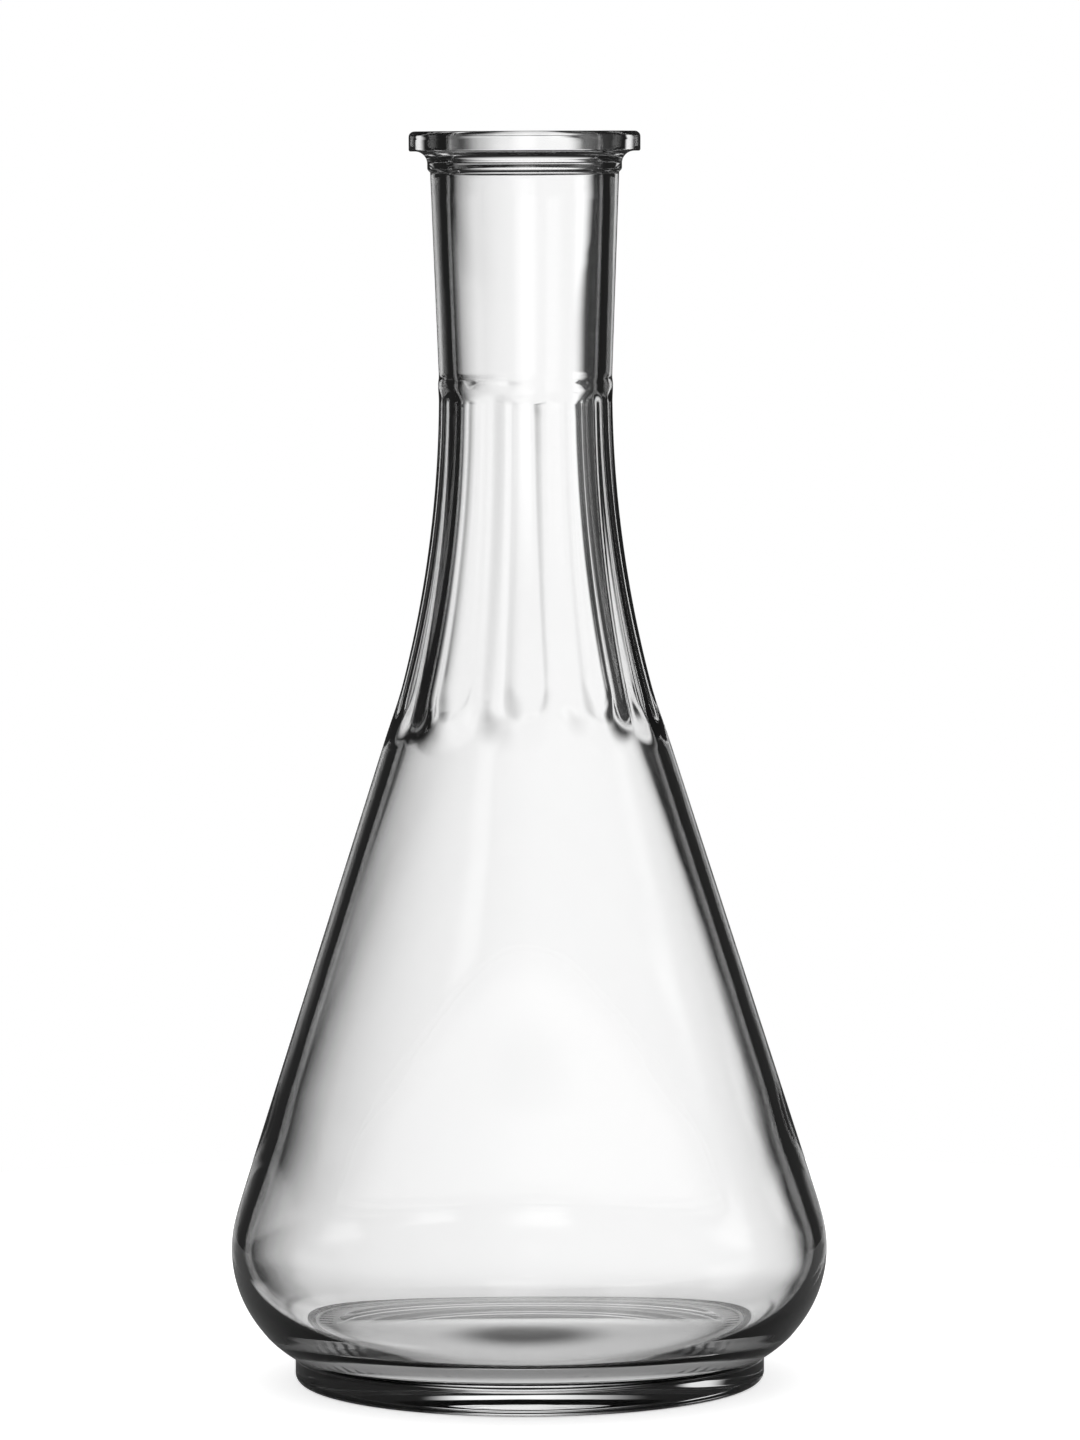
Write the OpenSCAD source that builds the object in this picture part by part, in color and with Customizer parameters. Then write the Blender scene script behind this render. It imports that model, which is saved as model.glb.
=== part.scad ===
/* [Body] */
// Height from the table to the rim
total_height = 265; // [256:1:282]
// Outside radius of the widest ring, low on the body
bulge_radius = 63.4; // [61:0.2:65]
// Height of the widest ring above the table
bulge_height = 28.25; // [27.5:0.25:28.5]
// Radius of the arc that turns the cone into the heel
heel_arc = 25.75; // [25.25:0.25:26.25]
// Lean of the cone's wall from upright, in degrees
cone_lean = 17.7; // [17.4:0.1:18]

/* [Glass thickness] */
// Thickness of the cone's wall, measured square to it
wall = 3; // [2.9:0.1:3.4]
// Thickness of the wall at the widest ring
bulge_wall = 2.8; // [2.5:0.1:2.9]
// Radius of the inside arc above the heel
inner_heel_arc = 19; // [18.8:0.1:20]
// Height of the inside floor at its edge
floor_height = 9.7; // [9.5:0.1:10.6]
// Rise of the inside floor from its edge to the middle
floor_rise = 1.2; // [0.6:0.1:2]

/* [Foot] */
// Outside radius of the foot
foot_radius = 49.9; // [49:0.1:51]
// Rounding of the foot's lower edge
foot_round = 1.8; // [1.4:0.1:2.6]
// Outside radius of the hollow under the foot
push_up_radius = 42; // [39:0.5:44]
// Depth of the hollow under the foot at its middle
push_up_depth = 3.2; // [2:0.1:4]

/* [Neck] */
// Length from the rim down to the top of the panels
neck_length = 54; // [48:1:60]
// Outside radius at the neck's lower end
neck_low_radius = 18.3; // [18:0.1:18.7]
// Outside radius of the neck just under the bead
neck_high_radius = 19.9; // [19.4:0.1:20.2]
// Inside radius at the top of the panels
bore_low_radius = 15.2; // [14.6:0.1:15.4]
// Inside radius of the straight mouth
mouth_radius = 16.6; // [16:0.1:17]
// Length of the straight mouth
mouth_depth = 14; // [10:0.5:18]

/* [Rim] */
// Outside radius of the rim flange
rim_radius = 24.4; // [23.6:0.1:25.4]
// Height of the rim flange
rim_height = 4.2; // [3.8:0.1:5]
// Rounding of the flange's upper edge
rim_round = 1.2; // [0.8:0.1:1.6]
// Rounding of the mouth's upper edge
lip_round = 1; // [0.6:0.1:1.4]
// Hollow rounding under the flange
under_round = 2.6; // [2.2:0.1:3]
// Outside radius of the bead under the flange
bead_radius = 20.5; // [20.3:0.1:20.9]
// Height of the bead
bead_height = 1.8; // [1.4:0.1:2.4]

/* [Panels] */
// Number of flat panels round the shoulder
panel_count = 10; // [9:1:12]
// Length of a panel from the collar to where its ridges end
panel_length = 68; // [64:1:72]
// How far the collar above the panels stands out from the neck
collar_step = 0.15; // [0.1:0.05:0.3]
// Height of the collar above the panels
collar_height = 0.8; // [0.6:0.1:1.2]
// How far the ridges stand out from the collar
ridge_step = 0.15; // [0.1:0.05:0.3]
// How far the ridges lie under the cone that they run into
ridge_cover = 0.15; // [0.1:0.05:0.3]
// How far a panel's round end reaches below its ridges
arch_drop = 3.5; // [3:0.25:4.25]
// Slope of the wall round a panel's lower end, in degrees
arch_draft = 30; // [24:1:36]

/* [Hidden] */
$fn = 48;

// The heel arc touches the widest ring and the cone
arc_r = bulge_radius - heel_arc;
cone_start_r = arc_r + heel_arc * cos(cone_lean);
cone_start_z = bulge_height + heel_arc * sin(cone_lean);
function cone_r(z) = cone_start_r - tan(cone_lean) * (z - cone_start_z);
function inner_cone_r(z) = cone_r(z) - wall / cos(cone_lean);

// The foot's wall meets the heel arc at this height
foot_height = bulge_height - sqrt(pow(heel_arc, 2) - pow(foot_radius - arc_r, 2));

// The panels run from the collar down to their round ends on the cone
panel_top = total_height - neck_length;
ridge_end = panel_top - panel_length;
arch_low = ridge_end - arch_drop;
collar_r = neck_low_radius + collar_step;
half_turn = 180 / panel_count;

// Distance from the axis to the middle of a panel, at its top and on the cone
panel_top_r = (collar_r + ridge_step) * cos(half_turn);
function panel_cone_r(z) = (cone_r(z) - ridge_cover) * cos(half_turn);

// A panel is an arc, upright at the collar, that touches the line on the cone
panel_slope = tan(cone_lean) * cos(half_turn);
panel_lean = atan(panel_slope);
panel_touch = (panel_cone_r(0) - panel_top_r - tan(panel_lean / 2) * panel_top)
              / (panel_slope - tan(panel_lean / 2));
panel_arc = (panel_top - panel_touch) / sin(panel_lean);
arch_r = 1.06 * panel_cone_r(ridge_end) * tan(half_turn);

// The inside is an arc of the same kind, from the neck's bore to the cone
inner_touch = (inner_cone_r(0) - bore_low_radius - tan(cone_lean / 2) * panel_top)
              / (tan(cone_lean) - tan(cone_lean / 2));
inner_arc = (panel_top - inner_touch) / sin(cone_lean);

// The inside arc over the heel touches the inside of the cone
inner_arc_r = bulge_radius - bulge_wall - inner_heel_arc;
inner_start_r = inner_arc_r + inner_heel_arc * cos(cone_lean);
inner_start_z = (inner_cone_r(0) - inner_start_r) / tan(cone_lean);
inner_arc_z = inner_start_z - inner_heel_arc * sin(cone_lean);
floor_r = inner_arc_r
          + sqrt(pow(inner_heel_arc, 2) - pow(inner_arc_z - floor_height, 2));

// Heights of the rim's parts, from the top down
flange_z = total_height - rim_height;
bead_top = flange_z - under_round;
bead_low = bead_top - bead_height;

// Half section of the foot, the heel, the widest ring and the cone
module body_outline() {
    polygon([[0, 0], [foot_radius - foot_round, 0], [foot_radius - foot_round, foot_round],
             [foot_radius, foot_round], [foot_radius, foot_height],
             [cone_start_r, cone_start_z], [cone_r(ridge_end + 3), ridge_end + 3],
             [0, ridge_end + 3]]);
    translate([foot_radius - foot_round, foot_round]) circle(foot_round, $fn = 24);
    translate([arc_r, bulge_height]) circle(heel_arc);
}

// Half section of the collar, the neck and the bead
module neck_outline() {
    polygon([[0, panel_top - 2], [neck_low_radius - 1.5, panel_top - 2],
             [neck_low_radius - 1.5, panel_top], [collar_r, panel_top],
             [collar_r, panel_top + collar_height],
             [neck_low_radius, panel_top + collar_height], [neck_high_radius, bead_low],
             [bead_radius, bead_low + bead_radius - neck_high_radius],
             [bead_radius, flange_z + 1], [0, flange_z + 1]]);
}

// Half section of the rim flange and the hollow rounding under it
module rim_outline() {
    difference() {
        translate([0, bead_top - 0.5])
            square([bead_radius + under_round, under_round + 1]);
        translate([bead_radius + under_round, bead_top]) circle(under_round, $fn = 24);
        translate([bead_radius, bead_top - 1]) square([under_round + 1, 1]);
    }
    translate([0, flange_z]) square([rim_radius, rim_height - rim_round]);
    translate([0, flange_z]) square([rim_radius - rim_round, rim_height]);
    translate([rim_radius - rim_round, total_height - rim_round])
        circle(rim_round, $fn = 24);
}

// Half section of the space inside the glass
module cavity_outline() {
    difference() {
        polygon([[0, floor_height + floor_rise], [floor_r, floor_height],
                 [inner_start_r, inner_start_z],
                 [inner_cone_r(inner_touch), inner_touch],
                 [inner_cone_r(inner_touch), panel_top], [bore_low_radius, panel_top],
                 [mouth_radius, total_height - mouth_depth],
                 [mouth_radius, total_height - lip_round],
                 [mouth_radius + lip_round, total_height - lip_round],
                 [mouth_radius + lip_round, total_height + 1], [0, total_height + 1]]);
        translate([bore_low_radius + inner_arc, panel_top]) circle(inner_arc, $fn = 240);
        translate([mouth_radius + lip_round, total_height - lip_round])
            circle(lip_round, $fn = 24);
    }
    // The arc over the heel, kept above the sloping floor
    difference() {
        translate([inner_arc_r, inner_arc_z]) circle(inner_heel_arc);
        polygon([[0, 0], [0, floor_height + floor_rise], [floor_r, floor_height],
                 [bulge_radius, floor_height], [bulge_radius, 0]]);
    }
}

// Half section of the shallow hollow under the foot, part of a large circle
module push_up_outline() {
    large = (pow(push_up_radius, 2) + pow(push_up_depth, 2)) / (2 * push_up_depth);
    intersection() {
        translate([0, push_up_depth - large]) circle(large, $fn = 360);
        translate([0, -1]) square([push_up_radius + 3, push_up_depth + 2]);
    }
}

// Section of everything outside one panel, measured out from the axis
module panel_outline() {
    out = 1.5 * cone_r(arch_low);
    intersection() {
        translate([panel_top_r + panel_arc, panel_top]) circle(panel_arc, $fn = 240);
        translate([0, panel_touch]) square([out, panel_top + 3 - panel_touch]);
    }
    polygon([[panel_cone_r(arch_low - 9), arch_low - 9],
             [panel_cone_r(panel_touch), panel_touch],
             [out, panel_touch], [out, arch_low - 9]]);
}

// A solid ring of flat panels that meet in sharp ridges
module panels() {
    difference() {
        translate([0, 0, arch_low - 1.5])
            cylinder(r = 1.2 * cone_r(arch_low), h = panel_top + 0.4 - arch_low + 1.5);
        for (i = [0 : panel_count - 1])
            rotate([90, 0, i * 2 * half_turn - 90]) translate([0, 0, -2 * arch_r])
                linear_extrude(4 * arch_r) panel_outline();
    }
}

// The cone with a round-ended pocket cut for each panel
module body() {
    inset = 5;
    low_r = arch_r - inset * tan(arch_draft);
    difference() {
        rotate_extrude() body_outline();
        for (i = [0 : panel_count - 1])
            rotate([0, 90, i * 2 * half_turn - 90])
                translate([-arch_low - arch_r, 0, panel_cone_r(ridge_end) - inset])
                    cylinder(r1 = low_r, r2 = low_r + 12 * tan(arch_draft), h = 12);
    }
}

module bottle() {
    color([0.94, 0.94, 0.94, 0.4]) difference() {
        union() {
            body();
            panels();
            rotate_extrude() neck_outline();
            rotate_extrude() rim_outline();
        }
        rotate_extrude() cavity_outline();
        rotate_extrude() push_up_outline();
    }
}

bottle();
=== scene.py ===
"""Glass carafe: the visible glass, its finish, and the stage that it stands on.

The file is laid out as an add-on and run as a script. Sizes are in metres, in the
frame of the CAD part: the bottle stands at the origin, its mouth points along +Z and
the middle of one shoulder panel faces -Y.
"""

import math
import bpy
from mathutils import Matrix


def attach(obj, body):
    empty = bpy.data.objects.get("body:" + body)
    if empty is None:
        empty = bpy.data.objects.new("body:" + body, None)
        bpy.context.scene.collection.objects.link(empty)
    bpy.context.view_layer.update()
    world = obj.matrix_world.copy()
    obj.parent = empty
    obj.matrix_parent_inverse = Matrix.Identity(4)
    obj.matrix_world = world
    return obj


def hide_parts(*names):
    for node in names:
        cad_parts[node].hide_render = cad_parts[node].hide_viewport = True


bl_info = {
    "name": "Glass Carafe",
    "version": (1, 0, 0),
    "blender": (4, 5, 0),
    "location": "3D View > Sidebar > Carafe",
    "description": "Makes a clear glass carafe with a panelled shoulder, and its stage",
    "category": "Object",
}

import bpy
from bpy.props import FloatProperty, FloatVectorProperty, IntProperty, PointerProperty
from mathutils import Matrix, Vector

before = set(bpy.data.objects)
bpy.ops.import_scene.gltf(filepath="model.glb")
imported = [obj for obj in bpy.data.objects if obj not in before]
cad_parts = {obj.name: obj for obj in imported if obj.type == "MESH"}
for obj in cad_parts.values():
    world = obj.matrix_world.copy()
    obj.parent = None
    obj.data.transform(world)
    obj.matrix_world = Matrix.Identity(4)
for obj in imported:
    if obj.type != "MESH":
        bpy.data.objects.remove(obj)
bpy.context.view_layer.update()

FULL_TURN = 2 * math.pi
QUARTER = math.pi / 2

# The thickness of a hair, for a radius that is as good as nothing
HAIR = 0.00001
# Points of the half section that stand closer than this are one point, and so are
# vertices of the wall that stand closer than the merging distance
SAME_POINT = 0.0000001
MERGING = 0.000001
# First and last step of a straight run, which keeps its shading even
SHORT_STEP = 0.0003
# Radius of a panel's round end, as a share of half the panel's width
ARCH_SHARE = 1.06
# Rows of the heel next to the foot, and of the inside next to the floor, that stay
# true arcs where the rest of the curve is evened out
FOOT_ROWS = 8
FLOOR_ROWS = 6
# Angle in degrees between the end of the inside arc and the floor's edge
FLOOR_CORNER = 1.5
# The bead's lower edge: outwards and up, as shares of how far the bead stands out
BEAD_EDGE = ((0.25, 0.2), (0.75, 0.75), (1, 1.3))
# How strongly the columns of a panel crowd towards its ridges
CROWDING = 0.55
# Radius that the slow waves are taken at, and how they are drawn out in height
WAVE_RADIUS = 0.03
WAVE_STRETCH = 0.35
# Corners of the round table
TABLE_CORNERS = 96


# Sizes and colours


def length(name, what, value):
    """A size in metres."""
    return FloatProperty(name=name, description=what, default=value, unit="LENGTH",
                         precision=5, min=0.0)


def angle(name, what, degrees):
    """An angle, written in degrees."""
    return FloatProperty(name=name, description=what, default=math.radians(degrees),
                         subtype="ANGLE")


def share(name, what, value, most=1.0):
    """A plain number from 0 up."""
    return FloatProperty(name=name, description=what, default=value, min=0.0, max=most)


def colour(name, what, value):
    """A colour, linear red, green and blue."""
    return FloatVectorProperty(name=name, description=what, default=value,
                               subtype="COLOR", size=3, min=0.0, max=1.0)


class BodySizes(bpy.types.PropertyGroup):
    """Outside and inside of the foot, the heel and the cone."""

    height: length("Height", "From the table to the rim", 0.265)
    bulge_radius: length("Widest radius", "Outside radius of the widest ring", 0.0634)
    bulge_height: length("Widest height", "Height of the widest ring", 0.02825)
    heel_arc: length("Heel arc", "Arc that turns the cone into the heel", 0.02575)
    cone_lean: angle("Cone lean", "Lean of the cone's wall from upright", 17.7)
    wall: length("Wall", "Thickness of the cone's wall", 0.003)
    bulge_wall: length("Widest wall", "Thickness at the widest ring", 0.0028)
    inner_heel_arc: length("Inner heel arc", "Inside arc above the heel", 0.019)
    floor_height: length("Floor", "Height of the inside floor at its edge", 0.0097)
    floor_rise: length("Floor rise", "Rise of the inside floor to its middle", 0.0012)
    swell: length("Swell", "How far the wall swells inside, low on the cone", 0.0005)
    swell_height: length("Swell height", "Height of the swell's middle", 0.047)
    swell_length: length("Swell length", "Half of the swell's length", 0.012)
    ease_height: length("Easing height", "Where the even curve into the heel starts", 0.065)
    ease_rounds: IntProperty(name="Easing", description="How far that curve is evened out",
                             default=14, min=0)
    foot_radius: length("Foot radius", "Outside radius of the foot", 0.0499)
    foot_round: length("Foot rounding", "Rounding of the foot's lower edge", 0.0018)
    foot_fillet: length("Foot fillet", "Rounding between foot and heel", 0.0006)
    hollow_radius: length("Hollow radius", "Radius of the hollow under the foot", 0.042)
    hollow_depth: length("Hollow depth", "Depth of the hollow at its middle", 0.0032)
    knurl_depth: length("Knurl depth", "Depth of the flutes under the foot", 0.00018)
    knurl_count: IntProperty(name="Knurl count", description="Flutes under the foot",
                             default=85, min=3)


class NeckSizes(bpy.types.PropertyGroup):
    """The neck, the bead and the rim flange."""

    neck_length: length("Neck length", "From the rim to the top of the panels", 0.054)
    low_radius: length("Lower radius", "Outside radius at the lower end", 0.0183)
    high_radius: length("Upper radius", "Outside radius under the bead", 0.0199)
    bore_radius: length("Bore", "Inside radius at the top of the panels", 0.0152)
    mouth_radius: length("Mouth", "Inside radius of the straight mouth", 0.0166)
    mouth_depth: length("Mouth depth", "Length of the straight mouth", 0.014)
    mouth_blend: length("Mouth blend", "Length over which mouth turns into bore", 0.001)
    rim_radius: length("Rim radius", "Outside radius of the flange", 0.0244)
    rim_height: length("Rim height", "Height of the flange", 0.0042)
    rim_round: length("Rim rounding", "Rounding of the upper edge", 0.0012)
    rim_under: length("Rim lower rounding", "Rounding of the lower edge", 0.0004)
    lip_round: length("Lip rounding", "Rounding of the mouth's edge", 0.001)
    hollow_round: length("Under-rim hollow", "Rounding under the flange", 0.0026)
    bead_radius: length("Bead radius", "Outside radius of the bead", 0.0205)
    bead_height: length("Bead height", "Height of the bead", 0.0018)


class PanelSizes(bpy.types.PropertyGroup):
    """The ring of flat panels round the shoulder."""

    count: IntProperty(name="Panels", description="Panels round the shoulder",
                       default=10, min=3)
    columns: IntProperty(name="Columns", description="Mesh columns in each panel",
                         default=30, min=6)
    span: length("Length", "From the collar to where the ridges end", 0.068)
    collar_step: length("Collar step", "How far the collar stands out", 0.00015)
    collar_height: length("Collar height", "Height of the collar", 0.0008)
    ridge_step: length("Ridge step", "How far the ridges pass the collar", 0.00015)
    ridge_cover: length("Ridge cover", "How far the ridges lie under the cone", 0.00015)
    arch_drop: length("Arch drop", "Reach of the round ends below the ridges", 0.0035)
    depth_share: share("Panel depth", "Depth as a share of a true flat's", 0.9)
    arch_width: length("Arch width", "Width of the slope round a lower end", 0.009)
    arch_margin: length("Arch margin", "Plain cone under the round ends", 0.005)
    pocket_fade: length("Pocket fade", "Length over which the slopes run out", 0.0085)
    collar_soft: length("Collar softness", "Length of the panels' upper ends", 0.0035)
    collar_low: share("Collar share", "Share of those ends below the collar", 0.88)
    ridge_soft: length("Ridge softness", "Blend across each ridge", 0.0018)
    inner_share: share("Inner depth", "Depth of the facets inside, as that share", 0.5)
    inner_soft: length("Inner softness", "Blend across the ridges inside", 0.003)
    inner_top: length("Inner upper ends", "Length of the inside facets' upper ends", 0.0025)
    inner_low: length("Inner lower ends", "Length of the inside facets' lower ends", 0.005)
    inner_gap: length("Inner gap", "From the round ends up to the inside facets", 0.0005)


class GlassFinish(bpy.types.PropertyGroup):
    """Look of the clear glass."""

    tint: colour("Tint", "Clear glass", (0.995, 0.995, 0.995))
    thick_tint: colour("Second tint", "Clear glass where it is greyer", (0.98, 0.98, 0.98))
    bend: share("Refraction", "Index of refraction", 1.52, 3.0)
    stand_rough: share("Stand roughness", "Roughness of the ring that it stands on", 0.3)
    stand_height: length("Stand height", "Height up to which that ring is rough", 0.0004)
    tint_scale: share("Tint scale", "Scale of the slow change of tint", 14.0, 100.0)
    ripple_scale: share("Ripple scale", "Scale of the fine ripple", 60.0, 100.0)
    ripple: share("Ripple", "Strength of the fine ripple", 0.02)
    ripple_height: length("Ripple height", "Depth of the fine ripple", 0.001)
    wave_height: length("Wave height", "Depth of the slow waves in the glass", 0.00008)
    wave_size: length("Wave size", "Size of the slow waves in the glass", 0.03)


class StageSettings(bpy.types.PropertyGroup):
    """Floor, light and camera."""

    turn: angle("Turn", "How far the camera stands round to the right", 3.5)
    distance: length("Distance", "From the camera to the axis", 1.557)
    eye_height: length("Eye height", "Height of the camera", 0.2605)
    side_step: FloatProperty(name="Side step", description="Camera's offset to the right",
                             default=0.00275, unit="LENGTH", precision=5)
    pitch: angle("Pitch", "How far the camera looks down", 4.4)
    roll: angle("Roll", "Turn of the camera about its own axis", -0.24)
    lens: FloatProperty(name="Lens", description="Focal length in millimetres",
                        default=184.4, min=1.0)
    zone_level: share("Zone level", "Strength of the bright zones", 1.08, 3.0)
    low_share: share("Low share", "Share of that strength far below", 0.8)
    low_start: angle("Low start", "Depth below level where it starts to fall", 10)
    low_end: angle("Low end", "Depth below level where it is down to that share", 19)
    left_start: angle("Left fade start", "Where the bright zones start to fade", 0.0)
    right_blur: share("Right blur", "Half of the right fade, for each degree", 0.35)
    dark_level: share("Dark level", "Strength between the bright zones", 0.01)
    gloss_level: share("Gloss level", "Strength that the glass mirrors from the front", 1.0)
    gloss_dark: share("Gloss dark", "Strength that the glass mirrors from the rest", 0.05)
    gloss_turn: angle("Gloss turn", "Azimuth of the light that the glass mirrors", 135)
    gloss_start: angle("Gloss start", "Where that light starts to fade", 25)
    gloss_end: angle("Gloss end", "Where that light has faded out", 75)
    table_reach: length("Table reach", "Radius where the glass sees the table", 0.049)
    table_glow: share("Table glow", "Strength of the table seen under the glass", 0.72)
    table_mirrored: share("Table mirrored", "Share of the table that the glass mirrors", 0.25)
    floor_level: share("Floor glow", "Strength that lifts the floor to white", 0.6)
    table_white: share("Table white", "Colour of the table", 0.8)
    table_radius: length("Table radius", "Radius of the round table", 0.35)
    table_drop: length("Table drop", "How far the table lies under the foot", 0.0002)
    # The spot is a painted shadow on the table under the hollow, as the glass sees it
    painted_shadow_step: length("Spot step", "How far the dark spot lies before the axis", 0.009)
    painted_shadow_start: length("Spot start", "Radius where the dark spot starts to fade", 0.006)
    painted_shadow_end: length("Spot end", "Radius of the dark spot", 0.022)
    painted_shadow_depth: share("Spot depth", "How dark the spot under the foot is", 0.85)
    shade_start: length("Shade start", "Radius where the foot's shade starts", 0.036)
    shade_end: length("Shade end", "Radius where that shade is full", 0.046)
    shade_level: share("Shade level", "Share of the table's glow in that shade", 0.3)


# Sums as node networks


class Term:
    """A socket or a number that plain Python arithmetic turns into Math nodes."""

    def __init__(self, tree, value):
        self.tree = tree
        self.value = value

    def _math(self, operation, *others):
        node = self.tree.nodes.new("ShaderNodeMath")
        node.operation = operation
        for socket, item in zip(node.inputs, (self, *others)):
            feed(self.tree, socket, item)
        return Term(self.tree, node.outputs[0])

    def __add__(self, other):
        return self._math("ADD", other)

    def __sub__(self, other):
        return self._math("SUBTRACT", other)

    def __mul__(self, other):
        return self._math("MULTIPLY", other)

    def __truediv__(self, other):
        return self._math("DIVIDE", other)

    def call(self, operation, *others):
        """Any other Math operation, such as SINE or SMOOTH_MIN."""
        return self._math(operation, *others)


def feed(tree, socket, item):
    """Links or sets a socket."""
    value = item.value if isinstance(item, Term) else item
    if isinstance(value, bpy.types.NodeSocket):
        tree.links.new(value, socket)
    else:
        socket.default_value = value


def add(tree, kind, inputs=(), **settings):
    """A node with its settings and inputs, given by name or by number."""
    node = tree.nodes.new(kind)
    for key, value in settings.items():
        setattr(node, key, value)
    for key, item in dict(inputs).items():
        feed(tree, node.inputs[key], item)
    return node


def fade(tree, value, start, end):
    """Smooth fall from 1 at start to 0 at end."""
    node = add(tree, "ShaderNodeMapRange", {
        "Value": value, "From Min": start, "From Max": end, "To Min": 1.0,
        "To Max": 0.0}, interpolation_type="SMOOTHSTEP")
    return Term(tree, node.outputs[0])


def diagonal(x, y):
    """Length of the diagonal over two sides."""
    return (x * x + y * y).call("SQRT")


def ray_kinds(tree):
    """Rays straight from the camera, those through glass, and those only mirrored."""
    path = add(tree, "ShaderNodeLightPath")
    camera, through, glossy = (
        Term(tree, path.outputs[name])
        for name in ("Is Camera Ray", "Is Transmission Ray", "Is Glossy Ray"))
    return camera, through, (glossy - through).call("MAXIMUM", 0.0)


# The glass's wall


def arc(centre_r, centre_z, radius, start, end, steps):
    """Points of a circular arc in the half section, from start to end in degrees."""
    points = []
    for i in range(steps + 1):
        a = math.radians(start + (end - start) * i / steps)
        points.append((centre_r + radius * math.cos(a), centre_z + radius * math.sin(a)))
    return points


def line(start, end, steps):
    """Points of a straight run with a short first and last step, for even shading."""
    short = SHORT_STEP / math.dist(start, end)
    parts = [0, short] + [i / steps for i in range(1, steps)] + [1 - short, 1]
    return [(start[0] + (end[0] - start[0]) * part,
             start[1] + (end[1] - start[1]) * part) for part in parts]


def eased(points, rounds):
    """The same run of points with its changes of curvature spread out."""
    for _ in range(rounds):
        between = [tuple((a + 2 * b + c) / 4 for a, b, c in zip(*three))
                   for three in zip(points, points[1:], points[2:])]
        points = [points[0], *between, points[-1]]
    return points


def smooth(part):
    """Smooth rise from 0 to 1 as the part goes from 0 to 1."""
    return part * part * (3 - 2 * part)


class Section:
    """The carafe's half section as rows of the wall's mesh, from named sizes."""

    def __init__(self, body, neck, panel):
        self.body, self.neck, self.panel = body, neck, panel
        self.tan_lean = math.tan(body.cone_lean)
        self.arc_r = body.bulge_radius - body.heel_arc
        self.cone_start = (self.arc_r + body.heel_arc * math.cos(body.cone_lean),
                           body.bulge_height + body.heel_arc * math.sin(body.cone_lean))
        self.half_turn = math.pi / panel.count
        self.panel_top = body.height - neck.neck_length
        self.ridge_end = self.panel_top - panel.span
        self.arch_low = self.ridge_end - panel.arch_drop
        self.collar_r = neck.low_radius + panel.collar_step
        self.arch_r = (ARCH_SHARE * self.panel_cone_r(self.ridge_end)
                       * math.tan(self.half_turn))
        self.arch_z = self.arch_low + self.arch_r
        self.top_plane = (self.collar_r + panel.ridge_step) * math.cos(self.half_turn)
        slope = self.tan_lean * math.cos(self.half_turn)
        bend = math.atan(slope)
        self.touch = ((self.panel_cone_r(0) - self.top_plane
                       - math.tan(bend / 2) * self.panel_top)
                      / (slope - math.tan(bend / 2)))
        self.panel_arc = (self.panel_top - self.touch) / math.sin(bend)
        self.rows = []

    def cone_r(self, z):
        """Outside radius of the plain cone."""
        return self.cone_start[0] - self.tan_lean * (z - self.cone_start[1])

    def inner_cone_r(self, z):
        """Inside radius of the plain cone."""
        return self.cone_r(z) - self.body.wall / math.cos(self.body.cone_lean)

    def swell(self, z):
        """How far the inside stands in at a height, where the wall is thicker."""
        b = self.body
        return b.swell * math.exp(-((z - b.swell_height) / b.swell_length) ** 2)

    def panel_cone_r(self, z):
        """Distance from the axis to a panel's middle where it follows the cone."""
        return (self.cone_r(z) - self.panel.ridge_cover) * math.cos(self.half_turn)

    def panel_distance(self, z):
        """Distance from the axis to a panel's middle at a height."""
        if z < self.touch:
            return self.panel_cone_r(z)
        rise = self.panel_top - z
        return self.top_plane + self.panel_arc - math.sqrt(self.panel_arc ** 2 - rise ** 2)

    def put(self, points, flat=0.0, pocket=0.0, knurl=0.0, inside=0.0, facet=0.0):
        """Adds rows, leaving out one that repeats the last point."""
        for r, z in points:
            if self.rows and not flat:
                last = self.rows[-1]
                apart = math.hypot(last["r"] - r, last["z"] - z)
                if apart < SAME_POINT and not last["ruled"]:
                    continue
            self.rows.append({"r": max(r, 0.0), "z": z, "ruled": flat,
                              "flat": self.panel_distance(z) if flat else 1.0,
                              "pocket": pocket, "knurl": knurl, "inside": inside,
                              "facet": facet})

    def underside(self):
        """Hollow, knurled bearing ring and rounding of the foot."""
        b = self.body
        large = (b.hollow_radius ** 2 + b.hollow_depth ** 2) / (2 * b.hollow_depth)
        for part in (0, 0.05, 0.14, 0.26, 0.4, 0.54, 0.68, 0.8, 0.9, 0.96, 0.995):
            r = part * b.hollow_radius
            self.put([(r, b.hollow_depth - large + math.sqrt(large ** 2 - r ** 2))])
        flat_end = b.foot_radius - b.foot_round
        width = flat_end - b.hollow_radius
        for part, depth in ((0.04, 0), (0.16, 0), (0.24, 1), (0.5, 1), (0.76, 1),
                            (0.84, 0), (0.97, 0)):
            self.put([(b.hollow_radius + part * width, 0.0)], knurl=depth)
        self.put(arc(flat_end, b.foot_round, b.foot_round, -90, 0, 8))

    def heel(self):
        """Foot's wall, the fillet above it, the heel and the widest ring."""
        b = self.body
        f = b.foot_fillet
        centre_r = b.foot_radius + f
        centre_z = b.bulge_height - math.sqrt((b.heel_arc + f) ** 2
                                              - (centre_r - self.arc_r) ** 2)
        rise = math.degrees(math.atan2(b.bulge_height - centre_z, self.arc_r - centre_r))
        self.put(line((b.foot_radius, b.foot_round), (b.foot_radius, centre_z), 3))
        self.put(arc(centre_r, centre_z, f, 180, rise, 4))
        start = math.degrees(math.atan2(centre_z - b.bulge_height, centre_r - self.arc_r))
        heel = arc(self.arc_r, b.bulge_height, b.heel_arc, start,
                   math.degrees(b.cone_lean), 38)
        cone = line(self.cone_start, (self.cone_r(b.ease_height), b.ease_height), 18)
        self.put(heel[:FOOT_ROWS] + eased(heel[FOOT_ROWS:] + cone[2:-2], b.ease_rounds))

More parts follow.
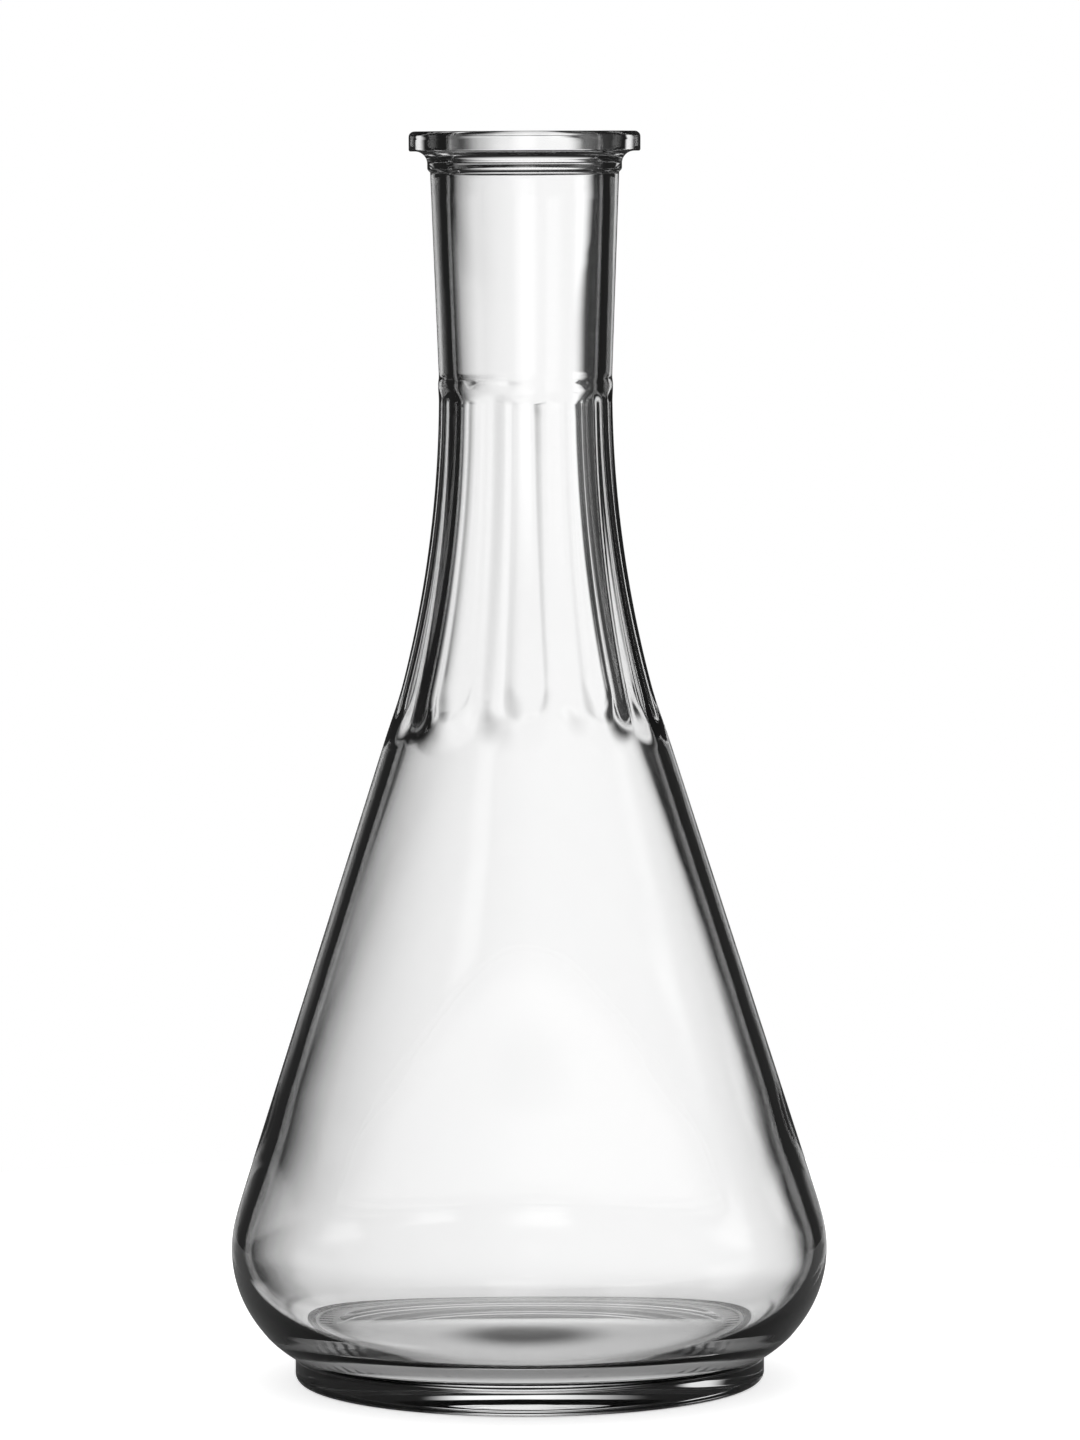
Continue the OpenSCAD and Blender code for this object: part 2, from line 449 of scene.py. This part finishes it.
    def cone_and_panels(self):
        """Plain cone, then the rows that the panel rule shapes."""
        p, above = self.panel, self.body.ease_height
        low, high = self.arch_low - p.arch_margin, self.ridge_end + p.pocket_fade
        self.put(line((self.cone_r(above), above), (self.cone_r(low), low), 5))
        steps = 36
        for i in range(1, steps + 1):
            z = low + (high - low) * i / steps
            past = max((z - self.ridge_end) / p.pocket_fade, 0)
            self.put([(self.cone_r(z), z)], flat=1.0, pocket=1 - smooth(past))
        end = self.panel_top - p.collar_low * p.collar_soft
        steps = 20
        for i in range(1, steps + 1):
            self.put([(self.collar_r, high + (end - high) * i / steps)], flat=1.0)
        # The panels' upper ends rise to the collar
        steps = 12
        for i in range(1, steps + 1):
            past = i / steps
            self.put([(self.collar_r, end + p.collar_soft * past)], flat=1 - smooth(past))

    def neck_and_rim(self):
        """Collar, neck, bead, flange and the top of the rim."""
        n, top = self.neck, self.body.height
        # The collar's step runs over twice the collar's height
        spread = 2 * self.panel.collar_height
        middle = self.panel_top + spread
        step = self.collar_r - n.low_radius
        self.put([(self.collar_r - step * smooth(part), middle + spread * (part - 0.5))
                  for part in (0.05, 0.2, 0.35, 0.5, 0.65, 0.8, 0.95)])
        flange_z = top - n.rim_height
        bead_top = flange_z - n.hollow_round
        bead_low = bead_top - n.bead_height
        neck_start = middle + 0.75 * spread
        self.put(line((n.low_radius, neck_start), (n.high_radius, bead_low), 9))
        step = n.bead_radius - n.high_radius
        self.put([(n.high_radius + step * out, bead_low + step * up)
                  for out, up in BEAD_EDGE])
        self.put(arc(n.bead_radius + n.hollow_round, bead_top, n.hollow_round, 180, 90, 9))
        self.put(arc(n.rim_radius - n.rim_under, flange_z + n.rim_under, n.rim_under,
                     -90, 0, 4))
        self.put(arc(n.rim_radius - n.rim_round, top - n.rim_round, n.rim_round, 0, 90, 8))
        self.put(arc(n.mouth_radius + n.lip_round, top - n.lip_round, n.lip_round,
                     90, 180, 8))

    def inside(self):
        """Mouth, bore, inside of the shoulder and the cone, and the floor."""
        b, n, p = self.body, self.neck, self.panel
        mouth_low = b.height - n.mouth_depth
        self.put(line((n.mouth_radius, b.height - n.lip_round),
                      (n.mouth_radius, mouth_low + n.mouth_blend), 3))
        self.put(line((n.mouth_radius - HAIR, mouth_low),
                      (n.bore_radius, self.panel_top), 8), inside=1.0)
        half_lean = math.tan(b.cone_lean / 2)
        touch = ((self.inner_cone_r(0) - n.bore_radius - half_lean * self.panel_top)
                 / (self.tan_lean - half_lean))
        big = (self.panel_top - touch) / math.sin(b.cone_lean)
        for r, z in arc(n.bore_radius + big, self.panel_top, big, 180,
                        180 + math.degrees(b.cone_lean), 34):
            ends = min((self.panel_top - z) / p.inner_top,
                       (z - self.arch_low - p.inner_gap) / p.inner_low)
            self.put([(r, z)], inside=1.0, facet=smooth(min(max(ends, 0), 1)))
        heel_r = b.bulge_radius - b.bulge_wall - b.inner_heel_arc
        start_r = heel_r + b.inner_heel_arc * math.cos(b.cone_lean)
        start_z = (self.inner_cone_r(0) - start_r) / self.tan_lean
        heel_z = start_z - b.inner_heel_arc * math.sin(b.cone_lean)
        above = b.ease_height
        upper = line((self.inner_cone_r(touch), touch), (self.inner_cone_r(above), above), 6)
        cone = line((self.inner_cone_r(above), above), (start_r, start_z), 18)
        floor_angle = -math.asin((heel_z - b.floor_height) / b.inner_heel_arc)
        heel = arc(heel_r, heel_z, b.inner_heel_arc, math.degrees(b.cone_lean),
                   math.degrees(floor_angle) + FLOOR_CORNER, 28)
        wall = (upper[:-2] + eased(cone[2:-2] + heel[:-FLOOR_ROWS], b.ease_rounds)
                + heel[-FLOOR_ROWS:])
        self.put([(r - self.swell(z), z) for r, z in wall], inside=1.0)
        floor_r = heel_r + b.inner_heel_arc * math.cos(floor_angle)
        for part in (0.985, 0.96, 0.9, 0.8, 0.66, 0.5, 0.34, 0.2, 0.09, 0):
            rise = b.floor_rise * (1 - part ** 2)
            self.put([(floor_r * part, b.floor_height + rise)], inside=1.0)

    def make(self):
        """All rows, from the middle of the underside to the middle of the floor."""
        self.underside()
        self.heel()
        self.cone_and_panels()
        self.neck_and_rim()
        self.inside()
        return self.rows


def section_mesh(rows):
    """The half section as a strip of points that carry the rules' numbers."""
    mesh = bpy.data.meshes.new("carafe_section")
    mesh.from_pydata([(row["r"], 0.0, row["z"]) for row in rows],
                     [(i, i + 1) for i in range(len(rows) - 1)], [])
    for name in ("ruled", "flat", "pocket", "knurl", "inside", "facet"):
        layer = mesh.attributes.new(name, "FLOAT", "POINT")
        layer.data.foreach_set("value", [row[name] for row in rows])
    return mesh


WALL_INPUTS = (
    ("Panels", "NodeSocketInt"), ("Columns", "NodeSocketInt"),
    ("Panel Depth", "NodeSocketFloat"), ("Ridge Softness", "NodeSocketFloat"),
    ("Inner Depth", "NodeSocketFloat"), ("Inner Softness", "NodeSocketFloat"),
    ("Arch Radius", "NodeSocketFloat"), ("Arch Height", "NodeSocketFloat"),
    ("Arch Width", "NodeSocketFloat"),
    ("Knurl Count", "NodeSocketInt"), ("Knurl Depth", "NodeSocketFloat"),
    ("Wave Height", "NodeSocketFloat"), ("Wave Size", "NodeSocketFloat"),
    ("Material", "NodeSocketMaterial"),
)


def wall_tree():
    """Turns the half section into the closed wall, with its panels and its knurl."""
    tree = bpy.data.node_groups.new("Carafe Wall", "GeometryNodeTree")
    face = tree.interface
    face.new_socket("Section", in_out="INPUT", socket_type="NodeSocketGeometry")
    for name, kind in WALL_INPUTS:
        face.new_socket(name, in_out="INPUT", socket_type=kind)
    face.new_socket("Wall", in_out="OUTPUT", socket_type="NodeSocketGeometry")
    given = tree.nodes.new("NodeGroupInput")
    result = tree.nodes.new("NodeGroupOutput")

    def term(socket):
        return Term(tree, socket)

    def size(name):
        return term(given.outputs[name])

    # One grid: its columns go round the axis, its rows along the half section
    count = add(tree, "GeometryNodeAttributeDomainSize",
                {"Geometry": given.outputs["Section"]}, component="MESH")
    rows = term(count.outputs["Point Count"])
    columns = size("Panels") * size("Columns")
    grid = add(tree, "GeometryNodeMeshGrid", {
        "Size X": columns, "Size Y": rows - 1,
        "Vertices X": columns + 1, "Vertices Y": rows})
    place = add(tree, "ShaderNodeSeparateXYZ", {0: add(
        tree, "GeometryNodeInputPosition").outputs[0]})
    column = (term(place.outputs["X"]) + columns * 0.5).call("ROUND")
    row = (term(place.outputs["Y"]) + (rows - 1) * 0.5).call("ROUND")

    def sampled(kind, value):
        node = add(tree, "GeometryNodeSampleIndex", data_type=kind, domain="POINT")
        feed(tree, node.inputs["Geometry"], given.outputs["Section"])
        feed(tree, node.inputs["Value"], value)
        feed(tree, node.inputs["Index"], row)
        return node.outputs[0]

    def number(name):
        source = add(tree, "GeometryNodeInputNamedAttribute", data_type="FLOAT")
        source.inputs["Name"].default_value = name
        return term(sampled("FLOAT", source.outputs[0]))

    point = add(tree, "ShaderNodeSeparateXYZ", {0: sampled(
        "FLOAT_VECTOR", add(tree, "GeometryNodeInputPosition").outputs[0])})
    base, z = term(point.outputs["X"]), term(point.outputs["Z"])

    # Columns stand closer together beside the ridges than across a panel
    part = column / size("Columns")
    number_of_panel = part.call("FLOOR")
    inside_part = part - number_of_panel
    crowded = inside_part - (inside_part * FULL_TURN).call("SINE") * (CROWDING / FULL_TURN)
    half_turn = Term(tree, math.pi) / size("Panels")
    offset = (crowded * 2 - 1) * half_turn
    turn = number_of_panel * 2 * half_turn + offset - QUARTER
    away = offset.call("ABSOLUTE")

    def facets(distance, depth, softness):
        """Planes round the axis, each cut by its neighbour's, drawn out to the ridges."""
        plane = (distance / offset.call("COSINE")).call(
            "SMOOTH_MIN", distance / (half_turn * 2 - away).call("COSINE"), softness)
        ridge = distance / half_turn.call("COSINE")
        return ridge + (plane - ridge) * depth

    # Round its lower end a panel slopes out to the cone, across an arch
    flat = number("flat")
    panel = facets(flat, size("Panel Depth"), size("Ridge Softness"))
    across = flat * offset.call("TANGENT")
    below = (z - size("Arch Height")).call("MINIMUM", 0.0)
    from_arch = diagonal(across, below) - size("Arch Radius")
    half = size("Arch Width") * 0.5
    out = number("pocket") * (Term(tree, 1.0) - fade(tree, from_arch, half * -1, half))
    shaped = panel + (base - panel) * out
    radius = base + (shaped - base) * number("ruled")

    # Inside, the panels show as soft facets of the same mean radius
    facet = facets(base * (half_turn.call("COSINE") + (
        Term(tree, 1.0) - half_turn.call("COSINE")) * size("Inner Depth") * 0.5),
        size("Inner Depth"), size("Inner Softness"))
    radius = radius + (facet - base) * number("facet")

    # Slow waves on the inside, and flutes under the foot
    direction = add(tree, "ShaderNodeCombineXYZ", {
        "X": turn.call("COSINE") * WAVE_RADIUS, "Y": turn.call("SINE") * WAVE_RADIUS,
        "Z": z * WAVE_STRETCH})
    noise = add(tree, "ShaderNodeTexNoise", {
        "Vector": direction.outputs[0], "Scale": Term(tree, 1.0) / size("Wave Size"),
        "Detail": 1.0, "Roughness": 0.4}, noise_dimensions="3D")
    wave = (term(noise.outputs[0]) - 0.5) * size("Wave Height") * number("inside")
    radius = (radius + wave).call("MULTIPLY", radius.call("GREATER_THAN", HAIR))
    flute = ((turn * size("Knurl Count")).call("SINE") + 1) * 0.5
    height = z + flute * size("Knurl Depth") * number("knurl")

    spot = add(tree, "ShaderNodeCombineXYZ", {
        "X": radius * turn.call("COSINE"), "Y": radius * turn.call("SINE"), "Z": height})
    moved = add(tree, "GeometryNodeSetPosition", {
        "Geometry": grid.outputs["Mesh"], "Position": spot.outputs[0]})
    closed = add(tree, "GeometryNodeMergeByDistance", {
        "Geometry": moved.outputs[0], "Distance": MERGING})
    shaded = add(tree, "GeometryNodeSetShadeSmooth", {"Geometry": closed.outputs[0]})
    real = add(tree, "GeometryNodeRealizeInstances", {"Geometry": shaded.outputs[0]})
    painted = add(tree, "GeometryNodeSetMaterial", {
        "Geometry": real.outputs[0], "Material": given.outputs["Material"]})
    tree.links.new(painted.outputs[0], result.inputs["Wall"])
    return tree


def make_plain(piece):
    """Turns the modifier's result into the piece's own mesh."""
    graph = bpy.context.evaluated_depsgraph_get()
    mesh = bpy.data.meshes.new_from_object(piece.evaluated_get(graph), depsgraph=graph)
    mesh.name = piece.name
    piece.modifiers.clear()
    piece.data = mesh
    return mesh


def volume(mesh):
    """Signed volume of a closed mesh, positive where its faces point outwards."""
    mesh.calc_loop_triangles()
    total = 0.0
    for triangle in mesh.loop_triangles:
        a, b, c = (mesh.vertices[i].co for i in triangle.vertices)
        total += a.dot(b.cross(c)) / 6
    return total


# The glass's finish


def principled(material):
    """The material's main shader, in a fresh tree."""
    material.use_nodes = True
    tree = material.node_tree
    tree.nodes.clear()
    shader = tree.nodes.new("ShaderNodeBsdfPrincipled")
    out = tree.nodes.new("ShaderNodeOutputMaterial")
    tree.links.new(shader.outputs[0], out.inputs["Surface"])
    return tree, shader


def clear_glass(finish, body):
    """Clear pressed glass, bright all over and stippled where it stands."""
    material = bpy.data.materials.new("clear carafe glass")
    tree, shader = principled(material)
    shader.inputs["Transmission Weight"].default_value = 1.0
    shader.inputs["IOR"].default_value = finish.bend
    here = add(tree, "ShaderNodeTexCoord").outputs["Object"]
    slow = add(tree, "ShaderNodeTexNoise", {
        "Vector": here, "Scale": finish.tint_scale, "Detail": 2.0, "Roughness": 0.5})
    tint = add(tree, "ShaderNodeMix", {
        "Factor": slow.outputs[0], 6: (*finish.tint, 1), 7: (*finish.thick_tint, 1)},
        data_type="RGBA")
    tree.links.new(tint.outputs[2], shader.inputs["Base Color"])

    # Rough only on the ring that stands on the table
    parts = add(tree, "ShaderNodeSeparateXYZ", {0: here})
    low = Term(tree, parts.outputs["Z"]).call("LESS_THAN", finish.stand_height)
    out = diagonal(Term(tree, parts.outputs["X"]), Term(tree, parts.outputs["Y"]))
    ring = out.call("GREATER_THAN", body.hollow_radius) * low
    feed(tree, shader.inputs["Roughness"], ring * finish.stand_rough)
    ripple = add(tree, "ShaderNodeTexNoise", {
        "Vector": here, "Scale": finish.ripple_scale, "Detail": 2.0, "Roughness": 0.5})
    bump = add(tree, "ShaderNodeBump", {
        "Height": ripple.outputs[0], "Strength": finish.ripple,
        "Distance": finish.ripple_height})
    tree.links.new(bump.outputs[0], shader.inputs["Normal"])
    return material


# The operator that makes the glass


class CARAFE_OT_glass(bpy.types.Operator):
    """Make the carafe's one piece of glass from its half section and its panel rule"""

    bl_idname = "carafe.glass"
    bl_label = "Make Glass"

    def execute(self, context):
        scene = context.scene
        body, neck, panel = scene.carafe_body, scene.carafe_neck, scene.carafe_panels
        finish = scene.carafe_finish
        section = Section(body, neck, panel)
        rows = section.make()
        piece = bpy.data.objects.new("bottle_glass", section_mesh(rows))
        scene.collection.objects.link(piece)
        material = clear_glass(finish, body)
        tree = wall_tree()
        modifier = piece.modifiers.new("Carafe Wall", "NODES")
        modifier.node_group = tree
        values = {
            "Panels": panel.count, "Columns": panel.columns,
            "Panel Depth": panel.depth_share, "Ridge Softness": panel.ridge_soft,
            "Inner Depth": panel.inner_share, "Inner Softness": panel.inner_soft,
            "Arch Radius": section.arch_r, "Arch Height": section.arch_z,
            "Arch Width": panel.arch_width,
            "Knurl Count": body.knurl_count, "Knurl Depth": body.knurl_depth,
            "Wave Height": finish.wave_height, "Wave Size": finish.wave_size,
            "Material": material,
        }
        for item in tree.interface.items_tree:
            if item.in_out == "INPUT" and item.name in values:
                modifier[item.identifier] = values[item.name]
        mesh = make_plain(piece)
        if volume(mesh) < 0:
            mesh.flip_normals()
        if not mesh.materials:
            raise RuntimeError("the glass has lost its material")
        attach(piece, "root")
        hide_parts("bottle")
        return {"FINISHED"}


# The stage

# Bright zones of the studio, in degrees. First the azimuth, from +Y towards +X, then
# the elevations where a zone is dark, full, still full and dark again, from below.
LIGHT_ZONES = (
    (-3.5, -60, -40, 11, 21),
    (-90, -40, -25, 7, 16),
    (-45, -70, -60, -20, -15),
    (135, -60, -40, -4, 2),
    (180, -24, -14, 4, 12),
    (90, -24, -14, 4, 12),
)

# How wide the zones are at an elevation, in degrees. After the elevation come the end
# of the left fade and the middle of the right fade, both measured from the azimuth.
ZONE_EDGES = (
    (-18.0, 12, 9),
    (-12.0, 13, 11.5),
    (-7.0, 17, 11),
    (-4.6, 17, 11),
    (-3.2, 21, 11.5),
    (-2.2, 24, 10.5),
    (-1.3, 25, 8.8),
    (-0.7, 20, 12),
    (0.5, 20, 13),
)

# Degrees that a full curve stands for
CURVE_SPAN = 30


def edge_curve(tree, up, which):
    """An edge of the bright zones, as a curve over the elevation."""
    low, high = (math.radians(ZONE_EDGES[i][0]) for i in (0, -1))
    place = add(tree, "ShaderNodeMapRange", {
        "Value": up, "From Min": low, "From Max": high})
    node = add(tree, "ShaderNodeFloatCurve", {"Value": place.outputs[0]})
    curve = node.mapping.curves[0]
    spots = [((math.radians(row[0]) - low) / (high - low), row[which] / CURVE_SPAN)
             for row in ZONE_EDGES]
    curve.points[0].location, curve.points[1].location = spots[0], spots[-1]
    for x, y in spots[1:-1]:
        curve.points.new(x, y)
    for point in curve.points:
        point.handle_type = "AUTO_CLAMPED"
    node.mapping.update()
    return Term(tree, node.outputs[0]) * math.radians(CURVE_SPAN)


def light_zones(tree, turn, up, stage):
    """Bright zones of the studio, with dark gaps between them."""
    left_end, right = edge_curve(tree, up, 1), edge_curve(tree, up, 2)
    total = None
    for azimuth, *ends in LIGHT_ZONES:
        low_end, low_start, high_start, high_end = (math.radians(e) for e in ends)
        aside = (turn - math.radians(azimuth)).call("WRAP", math.pi, -math.pi)
        zone = (fade(tree, aside, right * (1 - stage.right_blur),
                     right * (1 + stage.right_blur))
                * fade(tree, aside * -1, stage.left_start, left_end)
                * fade(tree, up, high_start, high_end)
                * fade(tree, up * -1, -low_start, -low_end))
        total = zone if total is None else total.call("MAXIMUM", zone)
    level = fade(tree, up * -1, stage.low_start, stage.low_end)
    total = total * (level * (1 - stage.low_share) + stage.low_share)
    return total * (stage.zone_level - stage.dark_level) + stage.dark_level


def studio_world(stage):
    """White to the camera, even on the floor, bright and dark zones in the glass."""
    world = bpy.data.worlds.new("carafe studio")
    world.use_nodes = True
    tree = world.node_tree
    tree.nodes.clear()
    parts = add(tree, "ShaderNodeSeparateXYZ", {
        0: add(tree, "ShaderNodeTexCoord").outputs["Generated"]})
    turn = Term(tree, parts.outputs["X"]).call("ARCTAN2", Term(tree, parts.outputs["Y"]))
    up = Term(tree, parts.outputs["Z"]).call("ARCSINE")
    zones = light_zones(tree, turn, up, stage)
    _, through, gloss = ray_kinds(tree)
    aside = (turn - stage.gloss_turn).call("WRAP", math.pi, -math.pi).call("ABSOLUTE")
    mirrored = (fade(tree, aside, stage.gloss_start, stage.gloss_end)
                * (stage.gloss_level - stage.gloss_dark) + stage.gloss_dark)
    strength = Term(tree, 1.0) + (zones - 1.0) * through + gloss * (mirrored - 1.0)
    shade = add(tree, "ShaderNodeBackground", {"Color": (1, 1, 1, 1), "Strength": strength})
    out = add(tree, "ShaderNodeOutputWorld")
    tree.links.new(shade.outputs[0], out.inputs["Surface"])
    return world


def floor_material(stage):
    """White table, glowing a little so that it meets the white background."""
    material = bpy.data.materials.new("white table")
    tree, shader = principled(material)
    shader.inputs["Roughness"].default_value = 0.9
    shader.inputs["Specular IOR Level"].default_value = 0.0
    shader.inputs["Emission Color"].default_value = (1, 1, 1, 1)
    camera, through, gloss = ray_kinds(tree)
    here = add(tree, "ShaderNodeSeparateXYZ", {
        0: add(tree, "ShaderNodeTexCoord").outputs["Object"]})
    x, y = Term(tree, here.outputs["X"]), Term(tree, here.outputs["Y"])
    out = diagonal(x, y)

    # Through the glass, the table under the foot glows, with a painted shadow as a dark spot
    # under the hollow's middle, and painted shade near the foot's edge
    near = diagonal(x, y + stage.painted_shadow_step)
    # spot is the painted shadow: the table's glow darkens towards its middle
    spot = fade(tree, near, stage.painted_shadow_start, stage.painted_shadow_end) * stage.painted_shadow_depth
    middle = fade(tree, out, stage.shade_start, stage.shade_end)
    under = ((Term(tree, 1.0) - spot)
             * (middle * (1 - stage.shade_level) + stage.shade_level) * stage.table_glow)
    seen = camera * stage.floor_level

    # The glass mirrors a darker table than the one that stands round it
    white = (Term(tree, 1.0) - gloss * (1 - stage.table_mirrored)) * stage.table_white
    tree.links.new(add(tree, "ShaderNodeCombineColor", {
        0: white, 1: white, 2: white}).outputs[0], shader.inputs["Base Color"])
    feed(tree, shader.inputs["Emission Strength"], seen + through * under)

    # Away from the foot the glass looks past the table, at the studio's zones
    past = out.call("GREATER_THAN", stage.table_reach) * through
    clear = tree.nodes.new("ShaderNodeBsdfTransparent")
    mix = add(tree, "ShaderNodeMixShader", {
        0: past, 1: shader.outputs[0], 2: clear.outputs[0]})
    end = next(n for n in tree.nodes if n.type == "OUTPUT_MATERIAL")
    tree.links.new(mix.outputs[0], end.inputs["Surface"])
    return material


class CARAFE_OT_stage(bpy.types.Operator):
    """Make the white table, the studio light and the camera"""

    bl_idname = "carafe.stage"
    bl_label = "Make Stage"

    def execute(self, context):
        scene = context.scene
        stage = scene.carafe_stage
        mesh = bpy.data.meshes.new("table")
        turns = [FULL_TURN * i / TABLE_CORNERS for i in range(TABLE_CORNERS)]
        corners = [(stage.table_radius * math.cos(a), stage.table_radius * math.sin(a),
                    -stage.table_drop) for a in turns]
        mesh.from_pydata(corners, [], [list(range(TABLE_CORNERS))])
        table = bpy.data.objects.new("table", mesh)
        mesh.materials.append(floor_material(stage))
        scene.collection.objects.link(table)
        scene.world = studio_world(stage)

        camera_data = bpy.data.cameras.new("camera")
        camera_data.lens = stage.lens
        camera = bpy.data.objects.new("camera", camera_data)
        scene.collection.objects.link(camera)
        look = (Matrix.Rotation(QUARTER - stage.pitch, 3, "X")
                @ Matrix.Rotation(stage.roll, 3, "Z"))
        camera.matrix_world = (Matrix.Rotation(stage.turn, 4, "Z") @ Matrix.Translation(
            Vector((stage.side_step, -stage.distance, stage.eye_height))) @ look.to_4x4())
        scene.camera = camera
        scene.view_settings.view_transform = "Standard"
        return {"FINISHED"}


class CARAFE_PT_panel(bpy.types.Panel):
    """Lists the carafe's operators and settings"""

    bl_idname = "CARAFE_PT_panel"
    bl_label = "Glass Carafe"
    bl_space_type = "VIEW_3D"
    bl_region_type = "UI"
    bl_category = "Carafe"

    def draw(self, context):
        for operator in (CARAFE_OT_glass, CARAFE_OT_stage):
            self.layout.operator(operator.bl_idname)
        for name, _ in GROUPS:
            group = getattr(context.scene, name)
            box = self.layout.box()
            for key in group.__annotations__:
                box.prop(group, key)


GROUPS = (
    ("carafe_body", BodySizes),
    ("carafe_neck", NeckSizes),
    ("carafe_panels", PanelSizes),
    ("carafe_finish", GlassFinish),
    ("carafe_stage", StageSettings),
)
CLASSES = tuple(group for _, group in GROUPS) + (
    CARAFE_OT_glass, CARAFE_OT_stage, CARAFE_PT_panel)


def register():
    for item in CLASSES:
        bpy.utils.register_class(item)
    for name, group in GROUPS:
        setattr(bpy.types.Scene, name, PointerProperty(type=group))


def unregister():
    for name, _ in GROUPS:
        delattr(bpy.types.Scene, name)
    for item in reversed(CLASSES):
        bpy.utils.unregister_class(item)


def main():
    register()
    bpy.ops.carafe.glass()
    bpy.ops.carafe.stage()


if __name__ == "__main__":
    main()
